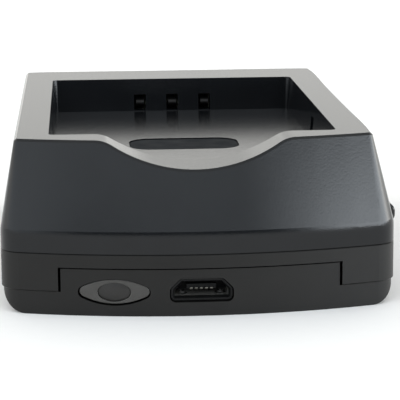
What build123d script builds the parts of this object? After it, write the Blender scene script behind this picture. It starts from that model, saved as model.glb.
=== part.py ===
from build123d import *
import math
import os

# Camera battery charger: a battery cradle on a slim two-piece base, with a sprung side release.
# Millimetres, +Z up, +Y to the back. The origin is the middle of the base, on the table.

os.makedirs("parts", exist_ok=True)

# Outer form
belt_width = 50.5
total_height = 22.0
crease_height = 10.45
seam_height = 8.0
tongue_height = 6.0
case_joint = 3.0
rim_inset = 2.5
rim_shift = -0.45
front_bow = 78.0
belt_corner = 3.3
crease_round = 4.0
rim_edge = 0.3
seam_edge = 0.18
lower_inset = 0.25
foot_round = 2.9
tongue_half = 17.7

# Walls, fits and clearances
skirt_wall = 1.6
case_wall = 1.5
floor_wall = 1.5
slide_gap = 0.2
side_gap = 0.32
joint_gap = 0.12
fit_gap = 0.06
pilot_gap = 0.05

# Battery bay
bay_width = 36.9
bay_length = 51.0
bay_depth = 4.95
bay_draft = 5.0
bay_corner = 0.8
front_rim = 6.1
back_rim = 9.9
notch_depth = 3.6
notch_radius = 20.0
shoulder_radius = 4.0
key_width = 2.6
key_height = 3.1
key_depth = 1.0
key_back = 22.3
plate_width = 15.2
plate_length = 9.1
plate_corner = 3.0
plate_recess = 0.4
plate_thick = 0.3
plate_back = 20.3

# Battery contacts and their comb
contact_pitch = 5.0
contact_width = 1.2
contact_thick = 0.25
contact_reach = 1.4
contact_rise = 2.0
slot_width = 1.8
pocket_width = 18.0
pocket_depth = 6.0
pocket_wall = 1.4
pocket_height = 3.8
comb_depth = 3.4

# Cradle cover and board
cover_thick = 1.2
cover_drop = 1.8
cradle_board_thick = 0.8
cradle_board_half = 9.4
cradle_board_length = 21.5
spacer_side = 2.4
spacer_inset = 9.0
spacer_y = 20.0
nib_length = 3.0
nib_reach = 0.9
nib_height = 0.6
nib_pitch = 28.0

# Release button, latch and spring
button_length = 14.0
button_height = 2.6
button_back = 9.4
button_rise = 0.3
button_proud = 0.7
button_travel = 1.0
button_nose = 1.1
flange_thick = 1.9
flange_inset = 2.4
flange_margin = 1.2
flange_room = 0.9
latch_width = 3.0
latch_spread = 5.0
latch_barb = 1.1
latch_leg = 1.3
latch_nose = 1.5
spring_span = 4.6
spring_height = 2.2
spring_thick = 0.2
seat_thick = 1.5
seat_width = 5.6

# Base: pedestal, deck and case screws
pedestal_inset = 2.8
pedestal_gap = 1.3
latch_bay_gap = 1.4
latch_bay_margin = 2.6
case_screw_inset = 5.7
case_screw_back = 7.4
boss_radius = 2.4
hook_back = 8.0
hook_width = 2.0
hook_thick = 1.2
hook_barb = 0.6
hook_height = 0.9
case_screw_radius = 0.95
case_head_radius = 1.85
case_head_sunk = 0.1
case_screw_top = 7.1
cross_width = 0.5
cross_depth = 0.6
lip_thick = 0.8
lip_height = 1.2

# Main board and what stands on it
board_thick = 1.0
board_side = 8.4
board_end = 5.0
board_inset = 2.7
rail_inset = 2.0
rail_front_gap = 11.0
rail_back_gap = 8.5
rail_width = 2.4
pin_radius = 0.65
pin_margin = 3.0
rib_length = 12.0
inductor_side = 7.3
inductor_room = 1.2
inductor_x = -7.0
inductor_back = 22.0
capacitor_radius = 3.15
capacitor_room = 0.4
capacitor_x = 9.0
capacitor_back = 38.0
chip_x = 5.5
chip_length = 5.0
chip_width = 3.9
chip_height = 1.5
lead_pitch = 1.27
controller_back = 20.0
switch_back = 12.0
logic_length = 8.6
logic_end = 12.0
diode_x = -7.0
diode_length = 4.4
diode_width = 2.7
diode_height = 2.2
passive_length = 1.6
passive_width = 1.25
passive_height = 0.6
passive_back = 28.0
link_pitch = 2.5
link_count = 4
link_inset = 4.5
link_depth = 4.0
link_blade_width = 1.2
link_blade_thick = 0.5

# Front window and socket
led_x = -11.0
led_z = 3.07
led_width = 9.0
led_height = 3.3
led_nose = 0.8
core_width = 4.2
core_height = 2.5
core_nose = 0.9
port_z = 3.3
port_bottom_half = 3.65
port_top_half = 2.55
port_half_height = 1.15
port_shoulder = 0.05
port_corner = 0.35
port_sheet = 0.25
port_length = 5.5
port_sunk = 0.55
port_flare = 0.5
port_flare_angle = 25.0
port_gap = 0.38
usb_pitch = 0.65

# Derived places
belt_length = front_rim + bay_length + back_rim + 2 * rim_inset
front_y = -belt_length / 2
back_y = belt_length / 2
belt_half = belt_width / 2
lean = math.degrees(math.atan(rim_inset / (total_height - crease_height)))
lean_rate = rim_inset / (total_height - crease_height)
bay_front = front_y + rim_inset + front_rim
bay_back = bay_front + bay_length
bay_middle = bay_front + bay_length / 2
floor_z = total_height - bay_depth
under_floor = floor_z - floor_wall
cover_top = under_floor - cover_drop
cover_bottom = cover_top - cover_thick
cover_inset = skirt_wall + lean_rate * (cover_top - crease_height) + joint_gap * 2
deck_under = seam_height - case_wall
lower_floor = case_wall
board_under = port_z + port_half_height + pilot_gap
board_top = board_under + board_thick
pedestal_top = cover_bottom - pedestal_gap
ceiling = pedestal_top - case_wall
button_front = front_y + button_back
button_middle = button_front + button_length / 2
button_level = crease_height + button_rise
flange_x = belt_half - flange_inset
flange_low = seam_height + slide_gap
flange_high = cover_bottom - flange_room
spring_length = button_travel + 6 * spring_thick
seat_x = flange_x - flange_thick - spring_length
pocket_front = bay_back + pocket_wall
pocket_middle = pocket_front + pocket_depth / 2
cradle_board_under = under_floor - cradle_board_thick
cradle_board_front = pocket_front + pocket_depth - cradle_board_length
link_y = cradle_board_front + link_inset
latch_bay_x = seat_x - seat_thick - latch_bay_gap
latch_edge = flange_x - latch_barb + slide_gap
mouth_y = front_y + lower_inset + port_sunk
port_rear = mouth_y + port_length
case_screw_x = belt_half - case_screw_inset
case_screw_spots = [(sign * case_screw_x, back_y - case_screw_back) for sign in (-1, 1)]
hook_y = front_y + hook_back
hook_x = belt_half - lower_inset - case_wall - slide_gap
hook_z = lower_floor + 2 * joint_gap
board_half = belt_half - board_side
board_back = back_y - board_end
rail_x = board_half - rail_inset
rail_front = front_y + rail_front_gap
rail_back = back_y - rail_back_gap
inductor_height = ceiling - board_top - inductor_room
capacitor_height = ceiling - board_top - capacitor_room
pin_spots = [(-rail_x, rail_front + pin_margin), (rail_x, rail_back - pin_margin)]
rail_length = rail_back - rail_front
rail_middle = (rail_front + rail_back) / 2
contact_spots = [rim_shift - contact_pitch, rim_shift, rim_shift + contact_pitch]
latch_spots = [button_middle - latch_spread, button_middle + latch_spread]


def plan(inset, height, rounded=True):
    """The plan outline with its bowed front, drawn in by an inset, as a face at a height."""
    half = belt_half - inset
    radius = front_bow - inset
    front = front_y + inset
    back = back_y - inset
    side_front = front + radius - math.sqrt(radius**2 - half**2)
    corner = max(belt_corner - inset, 0.4)
    with BuildSketch(Plane.XY.offset(height)) as face:
        with BuildLine():
            Polyline((half, side_front), (half, back), (-half, back), (-half, side_front))
            ThreePointArc((-half, side_front), (0, front), (half, side_front))
        make_face()
        if rounded:
            fillet(face.vertices(), corner)
    return face.sketch


def front_strip(outer, inner, left, right, height):
    """A strip of wall along the bowed front, between two insets and two sides, as a face at a height."""
    reach = 2 * (belt_corner + inner + lower_inset)
    with BuildSketch(Plane.XY.offset(height)) as strip:
        add(plan(outer, 0))
        add(plan(inner, 0), mode=Mode.SUBTRACT)
        with Locations(((left + right) / 2, front_y)):
            Rectangle(right - left, 2 * reach, mode=Mode.INTERSECT)
    return strip.sketch


def port_face(grow, y):
    """The socket's outline, narrow side up, grown by a margin, as a face across the front at y."""
    with BuildSketch(Plane.XZ.offset(-y)) as face:
        with BuildLine():
            Polyline(
                (-port_bottom_half, port_z - port_half_height),
                (port_bottom_half, port_z - port_half_height),
                (port_bottom_half, port_z + port_shoulder),
                (port_top_half, port_z + port_half_height),
                (-port_top_half, port_z + port_half_height),
                (-port_bottom_half, port_z + port_shoulder),
                close=True,
            )
        make_face()
        fillet(face.vertices(), port_corner)
        if grow != 0:
            offset(amount=grow)
    return face.sketch


def oval_face(width, height, nose, grow, y):
    """An oval of two broad arcs and two small end arcs round the window's middle, as a face at y."""
    long = width / 2 + grow
    tall = height / 2 + grow
    tip = nose + grow
    broad = ((long - tip) ** 2 + tall**2 - tip**2) / (2 * (tall - tip))
    share = broad / (broad - tip)
    touch_x = (long - tip) * share
    touch_z = (broad - tall) * (share - 1)
    with BuildSketch(Plane.XZ.offset(-y)) as face:
        with BuildLine():
            ThreePointArc(
                (led_x - touch_x, led_z + touch_z),
                (led_x, led_z + tall),
                (led_x + touch_x, led_z + touch_z),
            )
            ThreePointArc(
                (led_x + touch_x, led_z + touch_z),
                (led_x + long, led_z),
                (led_x + touch_x, led_z - touch_z),
            )
            ThreePointArc(
                (led_x + touch_x, led_z - touch_z),
                (led_x, led_z - tall),
                (led_x - touch_x, led_z - touch_z),
            )
            ThreePointArc(
                (led_x - touch_x, led_z - touch_z),
                (led_x - long, led_z),
                (led_x - touch_x, led_z + touch_z),
            )
        make_face()
    return face.sketch


def latch_profile(top, side, y):
    """A latch leg with an outward barb that hooks under the deck, as a face across the leg at y."""
    outer = flange_x - latch_barb - slide_gap
    inner = outer - latch_leg
    barb_top = deck_under - joint_gap
    with BuildSketch(Plane.XZ.offset(-y)) as face:
        with BuildLine():
            Polyline(
                (side * inner, top),
                (side * outer, top),
                (side * outer, barb_top),
                (side * (outer + latch_barb), barb_top),
                (side * outer, barb_top - latch_nose),
                (side * inner, barb_top - latch_nose),
                close=True,
            )
        make_face()
    return face.sketch


# Cradle shell: band, leaning walls, bay, thumb notch
with BuildPart() as cradle_shell:
    extrude(plan(0, seam_height), amount=crease_height - seam_height)
    rim = Pos(rim_shift, 0, 0) * plan(rim_inset, total_height)
    loft([plan(0, crease_height).face(), rim.face()], ruled=True)
    fillet(cradle_shell.edges().filter_by_position(Axis.Z, crease_height, crease_height), crease_round)
    # Thumb notch: a broad arc that meets the rim in two rounded shoulders
    arc_z = total_height - notch_depth + notch_radius
    shoulder_z = total_height - shoulder_radius
    shoulder_x = math.sqrt((notch_radius + shoulder_radius) ** 2 - (arc_z - shoulder_z) ** 2)
    share = notch_radius / (notch_radius + shoulder_radius)
    touch_x = shoulder_x * share
    touch_z = arc_z - (arc_z - shoulder_z) * share
    with BuildSketch(Pos(rim_shift, 0, 0) * Plane.XZ.offset(-(bay_front + bay_corner))):
        with BuildLine():
            ThreePointArc((-touch_x, touch_z), (0, total_height - notch_depth), (touch_x, touch_z))
            TangentArc((shoulder_x, total_height), (touch_x, touch_z), tangent=(-1, 0))
            Polyline(
                (shoulder_x, total_height),
                (shoulder_x, total_height + rim_inset),
                (-shoulder_x, total_height + rim_inset),
                (-shoulder_x, total_height),
            )
            TangentArc((-shoulder_x, total_height), (-touch_x, touch_z), tangent=(1, 0))
        make_face()
    extrude(amount=front_rim * 2, mode=Mode.SUBTRACT)
    # Outer rim edge, one smooth run that follows the notch
    walls = cradle_shell.faces().filter_by(lambda face: 0.05 < face.normal_at().Z < 0.5)
    chamfer(walls.edges().filter_by(lambda edge: edge.center().Z > floor_z), rim_edge)
    with BuildSketch(Plane.XY.offset(total_height)):
        with Locations((rim_shift, bay_middle)):
            RectangleRounded(bay_width, bay_length, bay_corner)
    extrude(amount=-bay_depth, taper=bay_draft, mode=Mode.SUBTRACT)
    # Hollow underside
    extrude(plan(skirt_wall, seam_height), amount=crease_height - seam_height, mode=Mode.SUBTRACT)
    extrude(
        plan(skirt_wall, crease_height, rounded=False),
        amount=under_floor - crease_height,
        taper=lean,
        mode=Mode.SUBTRACT,
    )
    # Recess for the blank plate in the bay floor
    with BuildSketch(Plane.XY.offset(floor_z)):
        with Locations((rim_shift, bay_front + plate_back)):
            RectangleRounded(plate_width, plate_length, plate_corner)
    extrude(amount=-plate_recess, mode=Mode.SUBTRACT)
    # Upright key grooves in the bay's side walls
    with Locations((rim_shift, bay_front + key_back, floor_z + key_height / 2)):
        Box(bay_width + 2 * key_depth, key_width, key_height, mode=Mode.SUBTRACT)
    # Pocket behind the bay for the contacts, and a slot for each
    with Locations((rim_shift, pocket_middle, under_floor)):
        Box(
            pocket_width,
            pocket_depth,
            pocket_height,
            align=(Align.CENTER, Align.CENTER, Align.MIN),
            mode=Mode.SUBTRACT,
        )
    with Locations([(x, bay_back, floor_z + joint_gap) for x in contact_spots]):
        Box(
            slot_width,
            2 * pocket_wall + fit_gap,
            contact_rise + 2 * contact_thick,
            align=(Align.CENTER, Align.CENTER, Align.MIN),
            mode=Mode.SUBTRACT,
        )
    # Spacers that the cover rests against, and nibs that it snaps over
    with Locations((0, 0, cover_top + fit_gap)):
        with GridLocations(2 * (belt_half - spacer_inset), 2 * spacer_y, 2, 2):
            Box(
                spacer_side,
                spacer_side,
                under_floor + rim_edge - cover_top - fit_gap,
                align=(Align.CENTER, Align.CENTER, Align.MIN),
            )
    nib_x = belt_half - skirt_wall - lean_rate * (cover_bottom - crease_height)
    with Locations((0, 0, cover_bottom - fit_gap)):
        with GridLocations(2 * nib_x, nib_pitch, 2, 3):
            Box(
                2 * nib_reach,
                nib_length,
                nib_height,
                align=(Align.CENTER, Align.CENTER, Align.MAX),
            )
    # Slot for the button through the right-hand wall
    with BuildSketch(Plane.YZ.offset(flange_x - flange_thick)):
        with Locations((button_middle, button_level)):
            Rectangle(button_length + 2 * slide_gap, button_height + 2 * slide_gap)
    extrude(amount=belt_half, mode=Mode.SUBTRACT)

# Blank plate in the bay floor
with BuildPart() as blank_plate:
    with BuildSketch(Plane.XY.offset(floor_z - plate_recess)):
        with Locations((rim_shift, bay_front + plate_back)):
            RectangleRounded(
                plate_width - 2 * fit_gap,
                plate_length - 2 * fit_gap,
                plate_corner - fit_gap,
            )
    extrude(amount=plate_thick)

# Battery contacts: bent leaf springs whose noses stand into the bay
comb_front = pocket_front + pocket_depth - comb_depth - fit_gap
leaf_z = under_floor + contact_thick / 2
leaf_top = floor_z + contact_rise
leaf_heel = pocket_front + pocket_depth - 2 * pocket_wall


def contact_leaf(x):
    """One leaf spring: foot on the board, upright, arm and a folded nose."""
    with BuildPart() as leaf:
        with BuildSketch(Plane.YZ.offset(x)):
            with BuildLine() as path:
                foot = Polyline(
                    (leaf_heel + contact_reach, leaf_z),
                    (leaf_heel, leaf_z),
                    (leaf_heel, leaf_top),
                    (bay_back + pocket_wall, leaf_top),
                )
                FilletPolyline(
                    foot @ 1,
                    (bay_back - contact_reach, floor_z + contact_reach),
                    (bay_back + pocket_wall, floor_z + 2 * contact_thick),
                    radius=1.3 * contact_thick,
                )
            trace(path.line, contact_thick)
        extrude(amount=contact_width / 2, both=True)
    return leaf


contact_minus = contact_leaf(contact_spots[0])
contact_sense = contact_leaf(contact_spots[1])
contact_plus = contact_leaf(contact_spots[2])

# Comb that keeps the leaf springs apart
with BuildPart() as contact_comb:
    with Locations((rim_shift, comb_front, under_floor + fit_gap)):
        Box(
            pocket_width - 2 * joint_gap,
            comb_depth,
            pocket_height - 2 * joint_gap,
            align=(Align.CENTER, Align.MIN, Align.MIN),
        )
    with Locations([(x, comb_front, under_floor) for x in contact_spots]):
        Box(
            slot_width,
            2 * (comb_depth - pocket_wall / 2),
            2 * pocket_height,
            mode=Mode.SUBTRACT,
        )

# Cradle board under the bay floor
with BuildPart() as cradle_board:
    with BuildSketch(Plane.XY.offset(cradle_board_under)):
        with Locations((0, cradle_board_front)):
            Rectangle(
                2 * cradle_board_half,
                cradle_board_length,
                align=(Align.CENTER, Align.MIN),
            )
    extrude(amount=cradle_board_thick - fit_gap / 2)

# Cradle cover: closes the cradle's underside, with the spring seat and the fixed hook
with BuildPart() as cradle_cover:
    extrude(plan(cover_inset, cover_bottom), amount=cover_thick)
    with Locations((0, link_y, cover_bottom)):
        Box(link_pitch * (link_count + 1), link_depth + 4 * slide_gap, 4 * cover_thick, mode=Mode.SUBTRACT)
    with Locations((seat_x, button_middle, cover_bottom + joint_gap)):
        Box(
            seat_thick,
            seat_width,
            cover_bottom - seam_height - slide_gap,
            align=(Align.MAX, Align.CENTER, Align.MAX),
        )
    for y in latch_spots:
        extrude(latch_profile(cover_bottom + joint_gap, -1, y), amount=latch_width / 2, both=True)

# Release button: a bar with a round nose outside, flange and latch legs inside
with BuildPart() as release_button:
    with BuildSketch(Plane.XZ.offset(-button_middle)) as bar:
        with Locations((flange_x, button_level)):
            Rectangle(
                belt_half + button_proud - flange_x,
                button_height,
                align=(Align.MIN, Align.CENTER),
            )
        fillet(bar.vertices().group_by(Axis.X)[-1], button_nose)
    extrude(amount=button_length / 2, both=True)
    chamfer(release_button.edges().filter_by(GeomType.CIRCLE), seam_edge)
    with Locations((flange_x, button_middle, flange_low)):
        Box(
            flange_thick,
            button_length + 2 * flange_margin,
            flange_high - flange_low,
            align=(Align.MAX, Align.CENTER, Align.MIN),
        )
    for y in latch_spots:
        extrude(latch_profile(button_level, 1, y), amount=latch_width / 2, both=True)

# Release spring: a bowed steel leaf between the cover's seat and the button's flange
with BuildPart() as release_spring:
    with BuildSketch(Plane.XY.offset(button_level - spring_height / 2)):
        with BuildLine() as bow:
            ThreePointArc(
                (seat_x + spring_thick, button_middle - spring_span / 2),
                (flange_x - flange_thick - spring_thick / 2 - fit_gap, button_middle),
                (seat_x + spring_thick, button_middle + spring_span / 2),
            )
        trace(bow.line, spring_thick)
    extrude(amount=spring_height)

# Upper case: the band between the seams, with a pedestal that reaches up into the cradle
with BuildPart() as upper_case:
    extrude(plan(0, case_joint), amount=seam_height - case_joint)
    chamfer(upper_case.faces().sort_by(Axis.Z)[-1].edges(), seam_edge)
    chamfer(upper_case.faces().sort_by(Axis.Z)[0].edges(), seam_edge)
    with BuildSketch(Plane.XY.offset(seam_height)):
        add(plan(pedestal_inset, 0))
        for side in (-1, 1):
            with Locations((side * latch_bay_x, button_middle)):
                Rectangle(
                    belt_width,
                    button_length + 2 * latch_bay_margin,
                    align=(Align.MAX if side < 0 else Align.MIN, Align.CENTER),
                    mode=Mode.SUBTRACT,
                )
    extrude(amount=pedestal_top - seam_height)
    extrude(plan(case_wall, case_joint), amount=deck_under - case_joint, mode=Mode.SUBTRACT)
    with BuildSketch(Plane.XY.offset(deck_under)):
        add(plan(pedestal_inset + case_wall, 0))
        for side in (-1, 1):
            with Locations((side * (latch_bay_x - case_wall), button_middle)):
                Rectangle(
                    belt_width,
                    button_length + 2 * (latch_bay_margin + case_wall),
                    align=(Align.MAX if side < 0 else Align.MIN, Align.CENTER),
                    mode=Mode.SUBTRACT,
                )
    extrude(amount=ceiling - deck_under, mode=Mode.SUBTRACT)
    # Opening for the lower case's tongue
    with Locations((0, front_y, case_joint)):
        Box(
            2 * (tongue_half + side_gap),
            2 * (belt_corner + case_wall),
            2 * (tongue_height + slide_gap - case_joint),
            mode=Mode.SUBTRACT,
        )
    # Screw bosses at the back
    with Locations([(x, y, lower_floor + joint_gap) for x, y in case_screw_spots]):
        Cylinder(
            boss_radius,
            ceiling + rim_edge - lower_floor - joint_gap,
            align=(Align.CENTER, Align.CENTER, Align.MIN),
        )
        Cylinder(
            case_screw_radius + pilot_gap,
            case_screw_top - lower_floor,
            align=(Align.CENTER, Align.CENTER, Align.MIN),
            mode=Mode.SUBTRACT,
        )
    # Hooks near the front that catch in the lower case's side walls
    for side in (-1, 1):
        inward = Align.MIN if side < 0 else Align.MAX
        outward = Align.MAX if side < 0 else Align.MIN
        with Locations((side * hook_x, hook_y, hook_z)):
            Box(
                hook_thick,
                hook_width,
                deck_under + rim_edge - hook_z,
                align=(inward, Align.CENTER, Align.MIN),
            )
            Box(
                hook_barb + slide_gap,
                hook_width,
                hook_height,
                align=(outward, Align.CENTER, Align.MIN),
            )
    # Slots in the deck for the latch legs
    for side in (-1, 1):
        with Locations([(side * latch_edge, y, seam_height) for y in latch_spots]):
            Box(
                latch_leg + latch_barb + 4 * slide_gap,
                latch_width + 4 * slide_gap,
                4 * case_wall,
                align=(Align.MIN if side < 0 else Align.MAX, Align.CENTER, Align.CENTER),
                mode=Mode.SUBTRACT,
            )
    # Ribs that hold the board down on its rails, and the window for the link block
    with Locations([(sign * rail_x, link_y, board_top + fit_gap) for sign in (-1, 1)]):
        Box(
            rail_width,
            rib_length,
            ceiling - board_top,
            align=(Align.CENTER, Align.CENTER, Align.MIN),
        )
    with Locations((0, link_y, pedestal_top)):
        Box(
            link_pitch * link_count + 2 * slide_gap,
            link_depth + 2 * slide_gap,
            4 * case_wall,
            mode=Mode.SUBTRACT,
        )

# Lower case: the tray with its raised front tongue
with BuildPart() as lower_case:
    extrude(plan(lower_inset, 0), amount=case_joint)
    # Rounded along both sides, so that the front face has round lower corners
    with BuildSketch(Plane.XZ.offset(-belt_length)) as tray_section:
        Rectangle(belt_width - 2 * lower_inset, 2 * total_height, align=(Align.CENTER, Align.MIN))
        fillet(tray_section.vertices().group_by(Axis.Y)[0], foot_round)
    extrude(amount=2 * belt_length, mode=Mode.INTERSECT)
    extrude(
        plan(lower_inset + case_wall, lower_floor),
        amount=case_joint - lower_floor,
        mode=Mode.SUBTRACT,
    )
    # Locating lip inside the upper case, open along the front
    with BuildSketch(Plane.XY.offset(lower_floor)):
        add(plan(case_wall + joint_gap, 0))
        add(plan(case_wall + joint_gap + lip_thick, 0), mode=Mode.SUBTRACT)
        with Locations((0, front_y)):
            Rectangle(
                belt_width,
                2 * (hook_y + hook_width - front_y),
                mode=Mode.SUBTRACT,
            )
    extrude(amount=case_joint + lip_height - lower_floor)
    # Catches for the upper case's hooks
    with Locations((0, hook_y, hook_z - joint_gap)):
        Box(
            2 * (hook_x + hook_barb + 2 * slide_gap),
            hook_width + 2 * slide_gap,
            hook_height + 2 * joint_gap,
            align=(Align.CENTER, Align.CENTER, Align.MIN),
            mode=Mode.SUBTRACT,
        )
    extrude(
        front_strip(lower_inset, lower_inset + case_wall, -tongue_half, tongue_half, lower_floor),
        amount=tongue_height - lower_floor,
    )
    # Rails that carry the board, with two pins that locate it
    with Locations([(sign * rail_x, rail_middle, lower_floor / 2) for sign in (-1, 1)]):
        Box(
            rail_width,
            rail_length,
            board_under - lower_floor / 2,
            align=(Align.CENTER, Align.CENTER, Align.MIN),
        )
    with Locations([(x, y, lower_floor) for x, y in pin_spots]):
        Cylinder(
            pin_radius,
            board_top + pin_radius - lower_floor,
            align=(Align.CENTER, Align.CENTER, Align.MIN),
        )
    # Countersunk holes for the case screws
    with Locations([Plane((x, y, 0), z_dir=(0, 0, -1)) for x, y in case_screw_spots]):
        CounterSinkHole(
            case_screw_radius + slide_gap,
            case_head_radius + slide_gap,
            depth=case_joint,
            counter_sink_angle=90,
        )
    # Window and socket openings through the tongue
    extrude(
        oval_face(led_width, led_height, led_nose, fit_gap, front_y + 2 * belt_corner),
        amount=4 * belt_corner,
        mode=Mode.SUBTRACT,
    )
    extrude(port_face(port_gap, front_y + belt_corner), amount=2 * belt_corner, mode=Mode.SUBTRACT)

# Case screws
with BuildPart() as case_screws:
    with Locations([(x, y, case_head_sunk) for x, y in case_screw_spots]):
        Cone(
            case_head_radius,
            case_screw_radius,
            case_head_radius - case_screw_radius,
            align=(Align.CENTER, Align.CENTER, Align.MIN),
        )
        Cylinder(
            case_screw_radius,
            case_screw_top - case_head_sunk,
            align=(Align.CENTER, Align.CENTER, Align.MIN),
        )
        Box(2 * case_screw_radius, cross_width, 2 * cross_depth, mode=Mode.SUBTRACT)
        Box(cross_width, 2 * case_screw_radius, 2 * cross_depth, mode=Mode.SUBTRACT)

# LED bezel: the grey oval that fills the window, with a flange behind the wall
with BuildPart() as led_bezel:
    bezel_back = lower_inset + case_wall + 3 * joint_gap + pin_radius / 2
    extrude(
        front_strip(
            lower_inset + joint_gap,
            bezel_back,
            led_x - led_width,
            led_x + led_width,
            0,
        ),
        amount=seam_height,
    )
    extrude(
        oval_face(led_width, led_height, led_nose, 0, front_y + 2 * belt_corner),
        amount=4 * belt_corner,
        mode=Mode.INTERSECT,
    )
    extrude(
        front_strip(
            lower_inset + case_wall + fit_gap,
            bezel_back,
            led_x - led_width / 2 - joint_gap * 4,
            led_x + led_width / 2 + joint_gap * 4,
            lower_floor + fit_gap,
        ),
        amount=board_under - 2 * fit_gap - lower_floor,
    )
    extrude(
        oval_face(core_width, core_height, core_nose, 0, front_y + 2 * belt_corner),
        amount=4 * belt_corner,
        mode=Mode.SUBTRACT,
    )

# Light pipe: the darker oval core that carries the light forward
with BuildPart() as light_pipe:
    extrude(
        front_strip(
            lower_inset + 3 * joint_gap,
            lower_inset + 2 * case_wall,
            led_x - core_width,
            led_x + core_width,
            0,
        ),
        amount=seam_height,
    )
    extrude(
        oval_face(core_width, core_height, core_nose, -fit_gap, front_y + 2 * belt_corner),
        amount=4 * belt_corner,
        mode=Mode.INTERSECT,
    )

# LED on the underside of the board, behind the light pipe
led_back = front_y + lower_inset + 2 * case_wall + led_x**2 / (2 * (front_bow - 2 * case_wall))
with BuildPart() as status_led:
    with Locations((led_x, led_back + 2 * joint_gap, board_under)):
        Box(
            core_width * 0.75,
            case_wall,
            core_height,
            align=(Align.CENTER, Align.MIN, Align.MAX),
        )

# Main board
with BuildPart() as main_board:
    with BuildSketch(Plane.XY.offset(board_under)):
        add(plan(board_inset, 0))
        with Locations((0, board_back)):
            Rectangle(
                2 * board_half,
                2 * belt_length,
                align=(Align.CENTER, Align.MAX),
                mode=Mode.INTERSECT,
            )
        with Locations(pin_spots):
            Circle(pin_radius + joint_gap, mode=Mode.SUBTRACT)
    extrude(amount=board_thick)

# Socket: sheet shell with a flared mouth
with BuildPart() as usb_shell:
    extrude(port_face(0, port_rear), amount=port_length - port_flare)
    extrude(port_face(0, mouth_y + port_flare), amount=port_flare, taper=-port_flare_angle)
    extrude(
        port_face(-port_sheet, port_rear - port_sheet),
        amount=port_length - port_flare - port_sheet,
        mode=Mode.SUBTRACT,
    )
    extrude(
        port_face(-port_sheet, mouth_y + port_flare),
        amount=port_flare,
        taper=-port_flare_angle,
        mode=Mode.SUBTRACT,
    )

# Socket insert: back block and tongue
usb_block_depth = 1.5
usb_tongue_half = 1.85
usb_tongue_thick = 0.6
usb_tongue_length = 2.6
usb_tongue_rise = 0.15
with BuildPart() as usb_insert:
    extrude(port_face(-port_sheet - fit_gap, port_rear - port_sheet - fit_gap), amount=usb_block_depth)
    with Locations((0, port_rear - port_sheet - usb_block_depth, port_z + usb_tongue_rise)):
        Box(
            2 * usb_tongue_half,
            usb_tongue_length + fit_gap,
            usb_tongue_thick,
            align=(Align.CENTER, Align.MAX, Align.CENTER),
        )

# Socket contacts along the underside of the tongue
with BuildPart() as usb_contacts:
    tongue_under = port_z + usb_tongue_rise - usb_tongue_thick / 2
    tongue_front = port_rear - port_sheet - usb_block_depth - usb_tongue_length - fit_gap
    for n in range(-2, 3):
        with Locations((n * usb_pitch, tongue_front, tongue_under)):
            Box(
                usb_pitch * 0.6,
                usb_tongue_length,
                usb_tongue_thick / 5,
                align=(Align.CENTER, Align.MIN, Align.MAX),
            )

# Inductor: a shielded ferrite block with a raised round top
inductor_y = front_y + inductor_back
with BuildPart() as inductor:
    with Locations((inductor_x, inductor_y, board_top)):
        Box(
            inductor_side,
            inductor_side,
            inductor_height - joint_gap,
            align=(Align.CENTER, Align.CENTER, Align.MIN),
        )
    chamfer(inductor.edges().filter_by(Axis.Z), inductor_side / 6)
    with Locations((inductor_x, inductor_y, board_top)):
        Cylinder(
            inductor_side * 0.4,
            inductor_height,
            align=(Align.CENTER, Align.CENTER, Align.MIN),
        )

# Bulk capacitors: cans on square bases
with BuildPart() as bulk_capacitors:
    with Locations([(side * capacitor_x, front_y + capacitor_back, board_top) for side in (-1, 1)]):
        Box(
            2 * capacitor_radius + 2 * joint_gap,
            2 * capacitor_radius + 2 * joint_gap,
            capacitor_height / 6,
            align=(Align.CENTER, Align.CENTER, Align.MIN),
        )
        Cylinder(
            capacitor_radius,
            capacitor_height,
            align=(Align.CENTER, Align.CENTER, Align.MIN),
        )
    chamfer(bulk_capacitors.faces().group_by(Axis.Z)[-1].edges(), rim_edge)


def chip(x, y, length, leads):
    """A moulded chip with a row of leads along each long side."""
    with BuildPart() as package:
        with Locations((x, y, board_top + joint_gap)):
            Box(length, chip_width, chip_height, align=(Align.CENTER, Align.CENTER, Align.MIN))
        with Locations((x, y, board_top)):
            with GridLocations(lead_pitch, chip_width + lead_pitch, leads, 2):
                Box(
                    lead_pitch / 3,
                    lead_pitch * 1.2,
                    chip_height / 4,
                    align=(Align.CENTER, Align.CENTER, Align.MIN),
                )
    return package


charge_controller = chip(chip_x, front_y + controller_back, chip_length, 4)
microcontroller = chip(0.0, back_y - logic_end, logic_length, 6)
switch_transistor = chip(chip_x, front_y + switch_back, chip_length, 4)

# Rectifier diode
with BuildPart() as rectifier_diode:
    with Locations((diode_x, front_y + switch_back, board_top)):
        Box(diode_length, diode_width, diode_height, align=(Align.CENTER, Align.CENTER, Align.MIN))
        Box(
            diode_length + 4 * slide_gap,
            diode_width / 2,
            diode_height / 5,
            align=(Align.CENTER, Align.CENTER, Align.MIN),
        )

# Chip resistors and capacitors
with BuildPart() as chip_passives:
    with Locations((0, front_y + passive_back, board_top)):
        with GridLocations(1.9 * passive_width, 1.4 * passive_length, 4, 2):
            Box(
                passive_width,
                passive_length,
                passive_height,
                align=(Align.CENTER, Align.CENTER, Align.MIN),
            )

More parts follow.
